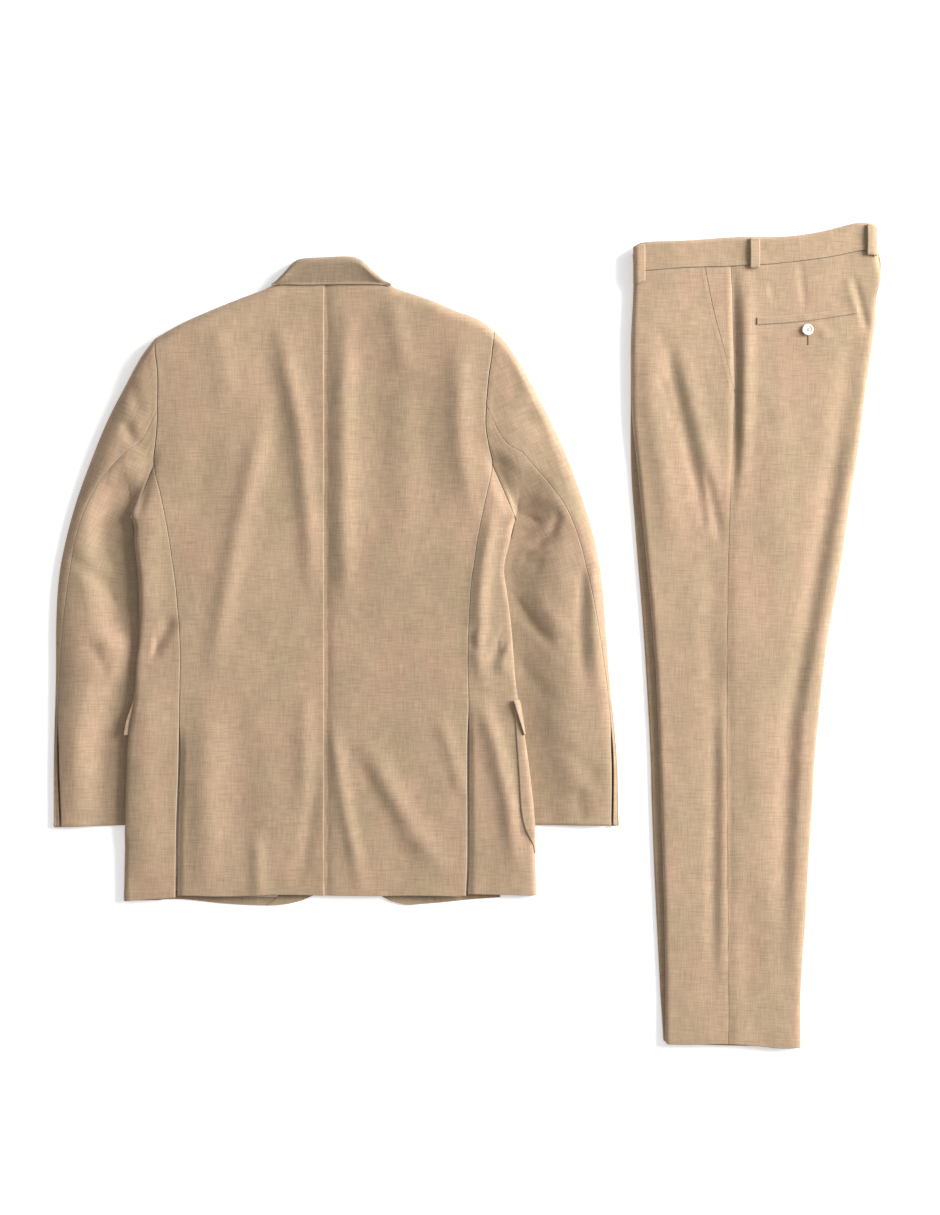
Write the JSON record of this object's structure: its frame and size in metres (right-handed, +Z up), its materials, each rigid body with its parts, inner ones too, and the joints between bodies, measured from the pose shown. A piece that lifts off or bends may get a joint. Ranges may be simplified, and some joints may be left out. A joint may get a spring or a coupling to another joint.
{
  "type": "two-piece suit",
  "caption": "Linen-look suit laid flat: jacket with its back up and sleeves at its sides, beside trousers folded leg on leg.",
  "frame": {"origin": "middle of the laid-out suit's bounding box, at the surface that it lies on", "axes": "+Z up from that surface, +Y towards the collar and the waistband, +X from the jacket to the trousers"},
  "size_m": [1.0354, 1.0326, 0.0221],
  "materials": {
    "suiting": "slubby woven",
    "lining": "plain woven",
    "button": "pearl"
  },
  "bodies": {
    "root": {"back_pocket_button": "button", "back_welt": "suiting", "belt_loop_back": "suiting", "belt_loop_front": "suiting", "belt_loop_side": "suiting", "collar": "suiting", "collar_end_left": "suiting", "collar_end_right": "suiting", "facing_left": "suiting", "facing_right": "suiting", "jacket_back_left": "suiting", "jacket_back_right": "suiting", "jacket_front_left": "suiting", "jacket_front_right": "suiting", "jacket_side_left": "suiting", "jacket_side_right": "suiting", "lapel_left": "suiting", "lapel_right": "suiting", "lining_left": "lining", "lining_right": "lining", "patch_pocket_left": "suiting", "patch_pocket_right": "suiting", "pocket_facing": "suiting", "pocket_flap_left": "suiting", "pocket_flap_right": "suiting", "top_sleeve_left": "suiting", "top_sleeve_right": "suiting", "trouser_back": "suiting", "trouser_front": "suiting", "trouser_layers": "suiting", "under_sleeve_left": "suiting", "under_sleeve_right": "suiting", "waistband": "suiting"}
  },
  "joints": []
}
